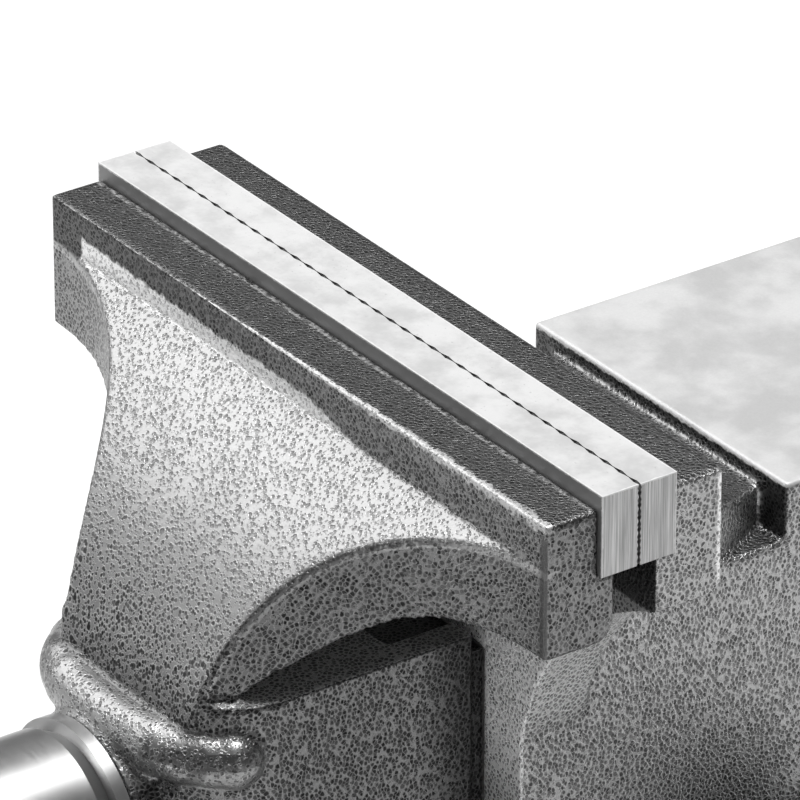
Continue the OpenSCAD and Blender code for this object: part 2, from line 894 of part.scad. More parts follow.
// Open spring coiled round the journal, one unbroken wire
module screw_spring() {
    n = round(coils * coil_seg);
    points = [for (i = [0 : n]) each wire_ring(i, n)];
    sides = [for (i = [0 : n - 1])
        for (k = [0 : wire_seg - 1])
            let(a = i * wire_seg + k, b = i * wire_seg + (k + 1) % wire_seg)
                for (t = [[a, a + wire_seg, b], [b, a + wire_seg, b + wire_seg]]) t];
    first = [for (k = [1 : wire_seg - 2]) [0, k, k + 1]];
    last = [for (k = [1 : wire_seg - 2])
        [n * wire_seg, n * wire_seg + k + 1, n * wire_seg + k]];
    echo(spring_gap = (spring_l - wire_d) / coils - wire_d);
    color(steel)
        on_screw()
            polyhedron(points = points, faces = concat(sides, first, last));
}

// Rolled pin across the journal, split along one side
module retaining_pin() {
    color(dark)
        translate([0, pin_y, screw_z])
            difference() {
                rod_x(pin_d / 2, -pin_l / 2, pin_l / 2);
                rod_x(pin_d / 2 - pin_wall, -pin_l, pin_l);
                translate([-pin_l, 0, -pin_slot / 2])
                    cube([2 * pin_l, pin_d, pin_slot]);
            }
}

// Threaded block that stands on the housing floor
module lead_nut() {
    lead_in = thread_y0 - thread_lead * 2;
    color(steel)
        difference() {
            along_y(nut_y0, nut_y1)
                rect([-nut_w / 2, tunnel_z0], [nut_w / 2, nut_z1]);
            on_screw()
                thread_solid(lead_in, (nut_y1 - lead_in) / thread_lead + 1,
                    thread_d / 2 - thread_depth + thread_gap, thread_d / 2 + thread_gap, flank_gap);
            translate([0, nut_bolt_y, tunnel_z0 - eps])
                cylinder(r = nut_bolt_d / 2 + seat_fit, h = nut_hole_z1 - tunnel_z0 + eps);
        }
}

// Hex bolt that holds the nut from below
module lead_nut_bolt() {
    seat_z = pocket_z1 - nut_washer_t;
    color(dark)
        translate([0, nut_bolt_y, 0]) {
            translate([0, 0, seat_z - nut_bolt_head_h])
                cylinder(d = nut_bolt_af / cos(30), h = nut_bolt_head_h, $fn = 6);
            translate([0, 0, seat_z - eps])
                cylinder(d = nut_bolt_d, h = nut_hole_z1 - loose - seat_z + eps);
        }
}

module lead_nut_washer() {
    color(steel)
        translate([0, nut_bolt_y, pocket_z1 - nut_washer_t])
            difference() {
                cylinder(d = nut_bolt_d * 2, h = nut_washer_t);
                translate([0, 0, -eps])
                    cylinder(r = nut_bolt_d / 2 + loose, h = nut_washer_t + 2 * eps);
            }
}

// Sliding bar with a thinner spigot at each end
module handle_bar() {
    color(steel)
        translate([0, cross_y, screw_z]) {
            rod_x(handle_d / 2, -bar_half, bar_half);
            rod_x(spigot_r, -knob_in + eps, knob_in - eps);
        }
}

// Ball pressed on one end of the bar, turned about the bar's axis
module handle_knob(side) {
    translate([0, cross_y, screw_z])
        rotate([0, side * 90, 0])
            rotate_extrude()
                difference() {
                    intersection() {
                        translate([0, knob_x])
                            circle(knob_d / 2);
                        rect([0, bar_half], [knob_d, handle_l]);
                    }
                    rect([-eps, 0], [spigot_r + seat_fit, knob_in]);
                }
}

module handle_knob_left() {
    color(steel)
        handle_knob(-1);
}

module handle_knob_right() {
    color(steel)
        handle_knob(1);
}

// Square-headed bolts that ride in the base's arc slots
module lock_bolts() {
    color(dark)
        for (side = [-1, 1])
            translate([side * lock_reach, 0, 0]) {
                translate([-lock_head / 2, -lock_head / 2, lock_z0])
                    cube([lock_head, lock_head, lock_head_h]);
                translate([0, 0, lock_z0 + eps])
                    cylinder(d = lock_d, h = lock_bolt_z1 - lock_z0 - eps);
            }
}

module lock_washers() {
    color(steel)
        for (side = [-1, 1])
            translate([side * lock_reach, 0, lock_washer_z])
                difference() {
                    cylinder(r = lock_d / 2 + lock_washer_w, h = washer_t);
                    translate([0, 0, -eps])
                        cylinder(r = lock_d / 2 + loose, h = washer_t + 2 * eps);
                }
}

// Axis of one lever, up and outwards: the right one leads forwards, the left one backwards
module on_lever(side) {
    translate([side * lock_reach, 0, lock_nut_z + lever_level])
        rotate([0, 0, side > 0 ? -lever_turn : 180 - lever_turn])
            rotate([0, 90 - lever_rise, 0])
                children();
}

// Round nut on one lock bolt, drilled for its lever
module lock_nut(side) {
    difference() {
        translate([side * lock_reach, 0, lock_nut_z])
            rotate_extrude()
                polygon([
                    [lock_d / 2 + turn_fit, 0],
                    [lock_nut_r, 0],
                    [lock_nut_r, lock_nut_h - lock_nut_bevel],
                    [lock_nut_r - lock_nut_bevel, lock_nut_h],
                    [lock_d / 2 + turn_fit, lock_nut_h]]);
        on_lever(side)
            translate([0, 0, lever_in])
                cylinder(r = lever_d / 2 + seat_fit, h = far);
    }
}

// Lever rod with a ball end
module lock_lever(side) {
    on_lever(side) {
        translate([0, 0, lever_in + lever_gap])
            cylinder(d = lever_d, h = lever_l - lever_in);
        translate([0, 0, lever_l])
            sphere(d = lever_ball_d);
    }
}

module lock_nut_left() {
    color(dark)
        lock_nut(-1);
}

module lock_nut_right() {
    color(dark)
        lock_nut(1);
}

module lock_lever_left() {
    color(steel)
        lock_lever(-1);
}

module lock_lever_right() {
    color(steel)
        lock_lever(1);
}

swivel_base();
fixed_jaw();
moving_jaw();
front_jaw_plate();
rear_jaw_plate();
front_plate_screws();
rear_plate_screws();
lead_screw();
thrust_washer();
spring_washers();
screw_spring();
retaining_pin();
lead_nut();
lead_nut_bolt();
lead_nut_washer();
handle_bar();
handle_knob_left();
handle_knob_right();
lock_bolts();
lock_washers();
lock_nut_left();
lock_nut_right();
lock_lever_left();
lock_lever_right();
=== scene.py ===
import math
from typing import NamedTuple

import bpy
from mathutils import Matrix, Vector

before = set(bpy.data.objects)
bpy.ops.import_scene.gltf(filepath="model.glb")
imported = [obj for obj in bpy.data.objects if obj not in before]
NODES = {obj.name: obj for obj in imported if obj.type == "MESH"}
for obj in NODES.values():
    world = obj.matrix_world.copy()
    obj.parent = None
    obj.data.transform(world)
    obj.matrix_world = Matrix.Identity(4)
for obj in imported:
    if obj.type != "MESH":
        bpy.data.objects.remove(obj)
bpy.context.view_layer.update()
MM = 0.001


# ---------------------------------------------------------------- shader graphs
HALF = (0.5, 0.5, 0.5)
ASKEW = (0.36, 0.48, 0.80)  # a direction that none of the 26 below runs along
FACES_DOWN = -0.8
LEVEL = -0.49  # the lowest value that still rounds to 0


class Graph:
    """A material's node tree, written as expressions on sockets; lengths are in millimetres."""

    def __init__(self, name):
        self.mat = bpy.data.materials.new(name)
        self.mat.use_nodes = True
        self.tree = self.mat.node_tree
        self.shader = self.tree.nodes["Principled BSDF"]
        coords = self.node("ShaderNodeTexCoord")
        self.normal = coords.outputs["Normal"]
        self.p = self.vector("SCALE", coords.outputs["Object"], scale=1.0 / MM)
        self.x, self.y, self.z = self.split(self.p)
        self.nx, self.ny, self.nz = self.split(self.normal)

    def node(self, kind, **settings):
        made = self.tree.nodes.new(kind)
        for key, value in settings.items():
            setattr(made, key, value)
        return made

    def put(self, socket, value):
        if isinstance(value, bpy.types.NodeSocket):
            self.tree.links.new(value, socket)
        else:
            socket.default_value = value

    # vectors
    def vector(self, op, a, b=None, scale=None):
        made = self.node("ShaderNodeVectorMath", operation=op)
        self.put(made.inputs[0], a)
        if b is not None:
            self.put(made.inputs[1], b)
        if scale is not None:
            self.put(made.inputs["Scale"], scale)
        return made.outputs[0]

    def dot(self, a, b):
        made = self.node("ShaderNodeVectorMath", operation="DOT_PRODUCT")
        self.put(made.inputs[0], a)
        self.put(made.inputs[1], b)
        return made.outputs["Value"]

    def split(self, v):
        made = self.node("ShaderNodeSeparateXYZ")
        self.put(made.inputs[0], v)
        return made.outputs

    def join(self, x, y, z):
        made = self.node("ShaderNodeCombineXYZ")
        for socket, value in zip(made.inputs, (x, y, z)):
            self.put(socket, value)
        return made.outputs[0]

    def grey(self, value):
        return self.join(value, value, value)

    def stretched(self, sx, sy, sz):
        return self.vector("MULTIPLY", self.p, (sx, sy, sz))

    def unrolled(self):
        """Flat coordinates on the surface: the point seen along the nearest of 26 directions.

        An overhang is seen from the side, unless it faces nearly straight down.
        """
        largest = self.most(*self.split(self.vector("ABSOLUTE", self.normal)))
        even = self.vector("SCALE", self.normal, scale=self.math("DIVIDE", 1.0, largest))
        x, y, z = self.split(even)
        z = self.mix(self.math("LESS_THAN", z, FACES_DOWN), self.most(z, LEVEL), z)
        facing = self.vector("FLOOR", self.vector("ADD", self.join(x, y, z), HALF))
        facing = self.vector("NORMALIZE", facing)
        across = self.vector("NORMALIZE", self.vector("CROSS_PRODUCT", facing, ASKEW))
        along = self.vector("CROSS_PRODUCT", facing, across)
        return self.join(self.dot(self.p, across), self.dot(self.p, along), 0.0)

    # numbers
    def math(self, op, a, b=None):
        made = self.node("ShaderNodeMath", operation=op)
        self.put(made.inputs[0], a)
        if b is not None:
            self.put(made.inputs[1], b)
        return made.outputs[0]

    def chain(self, op, parts):
        out = parts[0]
        for part in parts[1:]:
            out = self.math(op, out, part)
        return out

    def add(self, a, b):
        return self.math("ADD", a, b)

    def sub(self, a, b):
        return self.math("SUBTRACT", a, b)

    def size(self, a):
        return self.math("ABSOLUTE", a)

    def mul(self, *parts):
        return self.chain("MULTIPLY", parts)

    def least(self, *parts):
        return self.chain("MINIMUM", parts)

    def most(self, *parts):
        return self.chain("MAXIMUM", parts)

    def away(self, *pairs):
        """Distance from a place; each pair is a coordinate and the place's own."""
        total = 0.0
        for value, place in pairs:
            total = self.add(total, self.math("POWER", self.sub(value, place), 2.0))
        return self.math("SQRT", total)

    def step(self, value, low, high):
        """0 at low and 1 at high, smooth between; of two numbers low may be the larger."""
        made = self.node("ShaderNodeMapRange", interpolation_type="SMOOTHSTEP")
        start, end = 0.0, 1.0
        if isinstance(low, float) and isinstance(high, float) and low > high:
            low, high, start, end = high, low, end, start
        self.put(made.inputs["Value"], value)
        self.put(made.inputs["From Min"], low)
        self.put(made.inputs["From Max"], high)
        made.inputs["To Min"].default_value = start
        made.inputs["To Max"].default_value = end
        return made.outputs["Result"]

    def span(self, value, low, high, soft):
        """1 from low to high, fading over soft outside them."""
        return self.mul(self.step(value, low - soft, low), self.step(value, high + soft, high))

    def mix(self, factor, a, b):
        """a where the factor is 0 and b where it is 1."""
        made = self.node("ShaderNodeMix", data_type="FLOAT")
        self.put(made.inputs[0], factor)
        self.put(made.inputs[2], a)
        self.put(made.inputs[3], b)
        return made.outputs[0]

    # textures and the result
    def noise(self, vec, scale, detail=2.0, rough=0.5, coloured=False):
        made = self.node("ShaderNodeTexNoise", noise_dimensions="3D")
        self.put(made.inputs["Vector"], vec)
        made.inputs["Scale"].default_value = scale
        made.inputs["Detail"].default_value = detail
        made.inputs["Roughness"].default_value = rough
        return made.outputs["Color"] if coloured else made.outputs[0]

    def cells(self, vec, scale, feature="F1", flat=False):
        plane = "2D" if flat else "3D"
        made = self.node("ShaderNodeTexVoronoi", voronoi_dimensions=plane, feature=feature)
        self.put(made.inputs["Vector"], vec)
        made.inputs["Scale"].default_value = scale
        return made

    def bump(self, height, depth, strength):
        """Bump of a height of about 0 to 1, as deep as depth."""
        made = self.node("ShaderNodeBump")
        made.inputs["Strength"].default_value = strength
        made.inputs["Distance"].default_value = depth * MM
        self.put(made.inputs["Height"], height)
        return made.outputs[0]

    def surface(self, **sockets):
        for name, value in sockets.items():
            self.put(self.shader.inputs[name.replace("_", " ")], value)
        return self.mat


# ---------------------------------------------------------------- hammered paint
class Dimples(NamedTuple):
    """One size of dimple; radii are in cells, from the smallest to the largest."""

    cells_per_mm: float
    packed_share: float  # of the cells, how many hold a dimple
    smooth_share: float
    packed_radii: tuple
    smooth_radii: tuple
    least_depth: float


DIMPLES = (
    Dimples(1.12, 0.96, 0.92, (0.40, 0.68), (0.26, 0.52), 0.35),
    Dimples(2.00, 0.45, 0.40, (0.22, 0.42), (0.20, 0.40), 0.25),
    Dimples(0.45, 0.20, 0.20, (0.17, 0.28), (0.18, 0.27), 0.50),
)
NET_CELLS = 1.12  # cells a millimetre of the net of ridges between packed dimples
WANDER = 0.2  # millimetres that the dimples' outlines stray
SPARSE_SHARE = 0.7  # share of dimples left in the thin patches
FAINT_SHARE = 0.82  # share of smooth dimples left on faint paint
SMOOTH_SIZE, FAINT_SIZE = 1.2, 0.95
DEEPER = 1.8  # least depth on smooth paint that is not faint, against that of faint paint


def hammertone(g, smooth, faint):
    """Dimples of hammered paint and the rims round them.

    They are packed in a net of ridges where smooth is 0 and stand alone where it is 1;
    where faint is 1 as well they are fewest and shallowest.
    """
    stray = g.vector("SUBTRACT", g.noise(g.p, 1.3, detail=1.0, coloured=True), HALF)
    q = g.vector("ADD", g.unrolled(), g.vector("SCALE", stray, scale=WANDER))
    patch = g.step(g.noise(g.p, 0.11, detail=3.0, rough=0.6), 0.30, 0.50)
    net = g.cells(q, NET_CELLS, "DISTANCE_TO_EDGE", flat=True).outputs["Distance"]
    inside = g.most(g.step(net, 0.02, 0.13), smooth)
    pit = 0.0
    rim = g.mul(g.step(net, 0.10, 0.0), g.sub(1.0, smooth))
    for kind in DIMPLES:
        cell = g.cells(q, kind.cells_per_mm, flat=True)
        chance, depth, width = g.split(cell.outputs["Color"])
        alone = g.mul(g.mix(width, *kind.smooth_radii), g.mix(faint, SMOOTH_SIZE, FAINT_SIZE))
        radius = g.mix(smooth, g.mix(width, *kind.packed_radii), alone)
        reach = g.math("DIVIDE", cell.outputs["Distance"], radius)
        lone = g.mix(faint, kind.smooth_share, kind.smooth_share * FAINT_SHARE)
        share = g.mul(g.mix(smooth, kind.packed_share, lone), g.mix(patch, SPARSE_SHARE, 1.0))
        least = g.mix(faint, min(1.0, kind.least_depth * DEEPER), kind.least_depth)
        there = g.mul(g.math("LESS_THAN", chance, share), g.mix(depth, least, 1.0))
        dip = g.mul(g.step(reach, 1.0, 0.5), inside, there)
        ring = g.mul(g.step(reach, 0.80, 1.0), g.step(reach, 1.45, 1.1), there)
        pit = g.most(pit, dip)
        rim = g.most(rim, g.mul(ring, smooth))
    return pit, g.mul(rim, g.sub(1.0, pit))


def rub(g, distance, width, patchy=0.35):
    """Rubbed edge: 1 near the edge, broken up by noise."""
    stray = g.sub(g.noise(g.p, 0.5, detail=3.0, rough=0.6), 0.5)
    ragged = g.add(distance, g.mul(stray, g.mul(width, patchy * 4.0)))
    return g.sub(1.0, g.step(ragged, g.mul(width, 0.6), width))


# ---------------------------------------------------------------- marks on the castings
# Places are in millimetres. A pair is a fade, 0 at its first value and 1 at its second,
# unless its comment says something else. In a normal, ny near -1 faces the front, nx near 1
# the right end and nz near 1 upward.

# moving jaw
HORN_AXIS = (-50.0, 92.5)  # y and z of the line that the horn's face bends about
HORN_FACE = (67.0, 68.8)  # from, to: distances of that face from the line
HORN_TOP = (153.6, 152.6)
ROOT = (120.0, 109.5)  # the horn's foot, given painted shade to be darker than its face
ROOT_LEFT, ROOT_LEFT_SIDE = (136.0, 114.0), (40.0, -50.0)
BEAD_END = (24.7, -109.5, 102.5)  # centre of the ball at each end of the bead
BEAD_BALL = (6.0, 5.5)
BEAD_FRONT = (-109.0, -110.0)
BEAD_HEIGHT = (97.0, 108.0)  # from, to
BAND_FOOT = (152.6, 153.2)  # foot of the upright band under the jaw's top
BAND_LEFT, BAND_LEFT_FOOT = (40.0, -60.0), (152.6, 153.4)
PALE_TOP = (154.9, 153.9)  # where the painted highlight strip along that foot ends
PALE_LEFT, PALE_RIGHT = (-66.6, -65.6), (24.0, 16.0)
PALE_RISES = (((22.0, 2.0), 3.2), ((-30.0, -66.0), 0.9))  # fade along x, millimetres
SLIDE_FRONT, SLIDE_TOP = (-58.0, -57.0), (109.0, 108.4)
BEFORE_SLIDE = (-57.0, -58.0)
JAW_EDGE = (-80.5, 161.9)  # y and z of the jaw's upper front edge
EDGE_RUB = (0.16, 1.5)  # width of its rubbing at the left and at the right
EDGE_LENGTH = (-40.0, 76.0)
PLATE_FOOT = (-71.3, -70.5)  # from, to: y of the strip along the plate
JAW_TOP = (161.0, 161.6)
JAW_END, JAW_END_TOP = (74.6, 75.4), (160.5, 158.5)
UNDER_WING, UNDER_WING_TOP = (-78.0, -63.0), (114.5, 113.5)
BOX_LEDGE = (112.0, 114.0)  # from, to: z of the ledge on top of the box
FAINT_HEIGHT = (112.0, 142.0)

# strength of each mark of the moving jaw
LIP_SHADE, CORNER_SHADE, BAND_LEFT_SHADE, SIDE_SHADE = 0.75, 0.75, 0.80, 0.16
ROOT_SHADE, ROOT_LEFT_SHADE = 0.6, 0.42
# painted shade under the wings, on sides and on tops
UNDER_WING_SHADE_SIDES, UNDER_WING_SHADE_TOPS = 0.9, 0.55
STRIP_WEAR = 0.8
BEAD_FAINT = 0.7
# colour gain on the box ledge: painted light
BOX_LEDGE_PAINTED_LIGHT = 3.6

# fixed jaw
ANVIL_TOP, ANVIL_FRONT = (127.3, 127.8), (-2.0, -1.0)
ANVIL_EDGE = (-0.4, 128.2)  # y and z of the anvil's upper front edge
REAR_END = (76.0, -43.4)  # x and y of the rear jaw's upright end edge
REAR_END_FOOT = (138.0, 140.0)
STEP_FOOT = (114.0, 118.0)
REAR_LEDGE = (-40.0, -46.0)
NOTCH_FOOT, NOTCH_UNDER = (137.6, 138.2), (138.2, 137.6)
OVERHANG_FOOT, OVERHANG_SIDE = (62.0, 100.0), (0.0, 10.0)
# colour gains on the overhang and under the rear bar: painted light
OVERHANG_PAINTED_LIGHT, REAR_LEDGE_PAINTED_LIGHT = 1.9, 3.2
STEP_SHADE = 0.9

# swivel base
RIM_RADIUS, RIM_HEIGHT = 79.2, 23.2
BASE_FOOT = (1.0, 0.2)


def moving_jaw_marks(g):
    """Smoother paint on horn and bead, bare slide, rubbed edges, a painted highlight along the
    band's foot, painted shade under the wings and elsewhere, painted light on the box ledge.
    """
    horn = g.span(g.away((g.y, HORN_AXIS[0]), (g.z, HORN_AXIS[1])), *HORN_FACE, soft=0.6)
    ball = g.away((g.size(g.x), BEAD_END[0]), (g.y, BEAD_END[1]), (g.z, BEAD_END[2]))
    bead = g.most(g.step(g.y, *BEAD_FRONT), g.step(ball, *BEAD_BALL))
    bead = g.mul(g.span(g.z, *BEAD_HEIGHT, soft=0.4), bead)

    # painted highlight: a strip of lighter paint along the band's foot, higher to the left,
    # carrying the lit horn face up onto the band
    (middle, middle_rise), (far, far_rise) = PALE_RISES
    rise = g.add(g.mul(g.step(g.x, *middle), middle_rise), g.mul(g.step(g.x, *far), far_rise))
    ragged = g.mul(g.noise(g.p, 0.6, detail=3.0, rough=0.6), 2.4)
    strip_top = g.step(g.sub(g.add(g.z, ragged), rise), *PALE_TOP)
    painted_highlight = g.mul(strip_top, g.step(g.z, *BAND_FOOT), g.step(g.ny, -0.6, -0.8))
    painted_highlight = g.mul(painted_highlight, g.step(g.x, *PALE_LEFT), g.step(g.x, *PALE_RIGHT))
    smooth = g.most(g.mul(horn, g.step(g.z, *HORN_TOP)), bead, painted_highlight)

    # bare and rubbed metal
    slide = g.least(g.step(g.y, *SLIDE_FRONT), g.step(g.z, *SLIDE_TOP))
    width = g.mix(g.step(g.x, *EDGE_LENGTH), *EDGE_RUB)
    edge = rub(g, g.away((g.y, JAW_EDGE[0]), (g.z, JAW_EDGE[1])), width, patchy=0.6)
    strip = g.mul(g.span(g.y, *PLATE_FOOT, soft=0.35), g.step(g.z, *JAW_TOP))
    strip = g.mul(strip, g.step(g.noise(g.p, 0.9, detail=3.0, rough=0.6), 0.38, 0.60))

    # darker places: painted shade at the lip, under the wings, on the band's left, on
    # right-facing sides and at the horn's foot, and a darker smooth strip at the end corner
    # lip between the horn's face and the coves: painted shade
    lip = g.mul(g.step(g.size(g.nx), 0.25, 0.4), g.span(g.nz, 0.06, 0.6, soft=0.03))
    lip = g.mul(lip, g.step(g.noise(g.p, 0.9), 0.30, 0.50))
    ragged_x = g.add(g.x, g.mul(g.noise(g.p, 0.6), 1.6))
    corner = g.mul(g.step(ragged_x, *JAW_END), g.step(g.ny, -0.2, -0.6),
                   g.step(g.z, *JAW_END_TOP))
    # painted shade under the wings, fading in towards the slide
    shade_under_wing = g.mul(g.step(g.y, *UNDER_WING), g.step(g.z, *UNDER_WING_TOP),
                  g.step(g.y, *BEFORE_SLIDE),
                  g.mix(g.step(g.nz, 0.5, 0.8), UNDER_WING_SHADE_SIDES, UNDER_WING_SHADE_TOPS))
    # band's left end: painted shade
    left = g.mul(g.step(g.x, *BAND_LEFT), g.step(g.ny, -0.7, -0.9),
                 g.step(g.z, *BAND_LEFT_FOOT), g.sub(1.0, painted_highlight), BAND_LEFT_SHADE)
    # faces turned towards the right end: painted shade
    side = g.mul(g.step(g.nx, 0.2, 0.5), SIDE_SHADE)
    # horn's foot and its lower left: painted shade
    root_left = g.mul(g.step(g.z, *ROOT_LEFT), g.step(g.x, *ROOT_LEFT_SIDE), ROOT_LEFT_SHADE)
    root = g.mul(horn, g.most(g.mul(g.step(g.z, *ROOT), ROOT_SHADE), root_left))

    return {
        "smooth": smooth,
        "faint": g.most(g.step(g.z, *FAINT_HEIGHT), g.mul(bead, BEAD_FAINT)),
        "painted_highlight": painted_highlight,
        # darker paint off the horn, bead and strip: partly painted shade
        "deep": g.sub(1.0, smooth),
        "bare": slide,
        "worn": g.most(edge, g.mul(strip, STRIP_WEAR)),
        # the box ledge: less metal, and colour raised as painted light
        "dull_and_painted_light": g.mul(g.span(g.z, *BOX_LEDGE, soft=0.5), g.step(g.nz, 0.6, 0.9)),
        "painted_light": BOX_LEDGE_PAINTED_LIGHT,
        "shade": g.most(g.mul(lip, LIP_SHADE), g.mul(corner, CORNER_SHADE),
                        shade_under_wing, left, side, root),
        "plain": corner,
    }


def fixed_jaw_marks(g):
    """Ground anvil, rubbed edges of anvil and rear jaw, painted shade on the anvil's front
    face, painted shadow on the rear bar's front face, painted light under the rear bar.
    """
    end_edge = rub(g, g.away((g.x, REAR_END[0]), (g.y, REAR_END[1])), 1.7, patchy=0.25)
    end_edge = g.mul(end_edge, g.step(g.z, *REAR_END_FOOT))
    anvil_edge = rub(g, g.away((g.y, ANVIL_EDGE[0]), (g.z, ANVIL_EDGE[1])), 1.0)
    # front faces: the anvil step's front gets darker paint and painted shade, the rear bar's
    # front face above the notch line a painted shadow
    front = g.step(g.ny, -0.5, -0.8)
    step_face = g.mul(front, g.step(g.z, *STEP_FOOT))
    ledge = g.mul(front, g.step(g.y, *REAR_LEDGE))
    # overhang and the front face under the notch line: less metal, and colour raised as painted
    # light
    overhang = g.mul(
        g.most(g.step(g.nz, -0.12, -0.35), ledge),
        g.step(g.z, *NOTCH_UNDER), g.step(g.z, *OVERHANG_FOOT), g.step(g.x, *OVERHANG_SIDE),
    )
    return {
        "deep": step_face,
        "bare": g.mul(g.step(g.z, *ANVIL_TOP), g.step(g.y, *ANVIL_FRONT)),
        "worn": g.most(end_edge, anvil_edge),
        "shine": end_edge,
        "dull_and_painted_light": overhang,
        "painted_light": g.mix(ledge, OVERHANG_PAINTED_LIGHT, REAR_LEDGE_PAINTED_LIGHT),
        "shade": g.most(g.mul(ledge, g.step(g.z, *NOTCH_FOOT)), g.mul(step_face, STEP_SHADE)),
    }


def base_marks(g):
    """Rubbed upper rim, darker foot."""
    radius = g.away((g.x, 0.0), (g.y, 0.0))
    rim = rub(g, g.away((radius, RIM_RADIUS), (g.z, RIM_HEIGHT)), 1.0)
    return {"deep": g.mul(g.step(g.z, *BASE_FOOT), 0.5), "worn": rim}


# Brightness of the paint by kind, then of a dimple's floor and a rim's gain against it. A rim's
# gain is a painted highlight on the ridges, ON_TOPS is painted shade on upward faces,
# PAINTED_HIGHLIGHT_GAIN lifts the painted highlight strip and SHADED is what full painted shade
# leaves
PACKED, DEEP, SMOOTH, FAINT = 0.47, 0.29, 0.40, 0.46
ON_TOPS, PAINTED_HIGHLIGHT_GAIN, SHADED = 0.62, 1.95, 0.22
PACKED_PIT, DEEP_PIT, SMOOTH_PIT, FAINT_PIT, TOP_PIT = 0.20, 0.10, 0.10, 0.50, 0.16
PACKED_RIM, SMOOTH_RIM, FAINT_RIM = 0.45, 0.9, 0.2
PAINT_METAL, DULL_METAL, BARE_METAL, WORN_METAL = 0.95, 0.2, 0.35, 0.45


def cast_paint(name, marks):
    """Hammered metallic paint of one casting.

    marks gives masks: smooth and faint are kinds of paint, deep is darker paint and partly
    painted shade, pale is a painted highlight, plain has no dimples, shade is darker colour,
    mostly painted shade, dull has little metal in it and lift raises its colour as painted
    light, bare is ground iron, worn is a rubbed edge and shine one that is bright metal.
    """
    g = Graph(name)
    mark = marks(g)
    smooth = mark.get("smooth", 0.0)
    faint = mark.get("faint", 0.5)
    shine = mark.get("shine", 0.0)
    pit, rim = hammertone(g, smooth, faint)
    if "plain" in mark:
        pit = g.mul(pit, g.sub(1.0, mark["plain"]))
    # upward faces: darker paint, painted shade
    top = g.step(g.nz, 0.80, 0.96)
    deep = g.most(mark["deep"], g.mul(top, 0.85))

    grain = g.mix(g.noise(g.p, 2.4, detail=2.0, rough=0.6), 0.84, 1.16)
    tone = g.mix(g.noise(g.p, 0.03, detail=3.0), 0.92, 1.08)
    packed = g.mul(g.mix(deep, PACKED, DEEP), g.mix(top, 1.0, ON_TOPS))
    colour = g.mul(g.mix(smooth, packed, g.mix(faint, SMOOTH, FAINT)), g.mul(grain, tone))
    # the strip along the band's foot: colour raised as a painted highlight
    if "painted_highlight" in mark:
        colour = g.mul(colour, g.mix(mark["painted_highlight"], 1.0, PAINTED_HIGHLIGHT_GAIN))
    pit_floor = g.mix(smooth, g.mix(deep, PACKED_PIT, DEEP_PIT),
                      g.mix(faint, SMOOTH_PIT, FAINT_PIT))
    colour = g.mul(colour, g.mix(pit, 1.0, g.mix(top, pit_floor, TOP_PIT)))
    # lighter rims: painted highlight on the ridges between dimples
    rim_highlight = g.mix(smooth, PACKED_RIM, g.mix(faint, SMOOTH_RIM, FAINT_RIM))
    colour = g.mul(colour, g.add(1.0, g.mul(rim, rim_highlight)))

    metal, rough = PAINT_METAL, g.mix(pit, 0.33, 0.45)
    relief = g.mix(top, g.mix(smooth, 1.0, 1.4), 0.7)
    height = g.mul(g.add(g.sub(1.0, pit), g.mul(rim, 0.35)), relief)
    ripple = g.mul(g.noise(g.p, 0.75), g.mix(smooth, 0.4, 1.1))
    height = g.add(height, ripple)

    if "shade" in mark:
        colour = g.mul(colour, g.mix(mark["shade"], 1.0, SHADED))
    # dull faces: less metal, and colour raised by the gain as painted light
    if "dull_and_painted_light" in mark:
        metal = g.mix(mark["dull_and_painted_light"], metal, DULL_METAL)
        colour = g.mix(mark["dull_and_painted_light"], colour, g.mul(colour, mark["painted_light"]))
    if "bare" in mark:
        bare = mark["bare"]
        cloud = g.step(g.noise(g.p, 0.05, detail=4.0, rough=0.62), 0.35, 0.65)
        speck = g.mix(g.noise(g.p, 1.8, detail=3.0, rough=0.7), 0.90, 1.08)
        colour = g.mix(bare, colour, g.mul(g.mix(cloud, 0.58, 0.76), speck))
        metal = g.mix(bare, metal, BARE_METAL)
        rough = g.mix(bare, rough, 0.5)
        height = g.mul(height, g.sub(1.0, bare))

    worn = g.mul(mark["worn"], g.mix(pit, 1.0, 0.25))
    worn_tone = g.mix(g.noise(g.p, 1.6), 0.60, 0.85)
    colour = g.mix(worn, colour, g.mix(shine, worn_tone, 0.95))
    metal = g.mix(worn, metal, g.mix(shine, WORN_METAL, 1.0))
    height = g.mul(height, g.mix(worn, 1.0, 0.4))
    return g.surface(
        Base_Color=g.grey(colour),
        Metallic=metal,
        Roughness=rough,
        Normal=g.bump(height, depth=0.08, strength=0.9),
    )


# ---------------------------------------------------------------- steel and iron
PLATE_SEAM_Y = -62.0  # where the two plates meet
PLATE_HALF_LENGTH, PLATE_THICKNESS, PLATE_TOP = 76.9, 7.8, 165.0


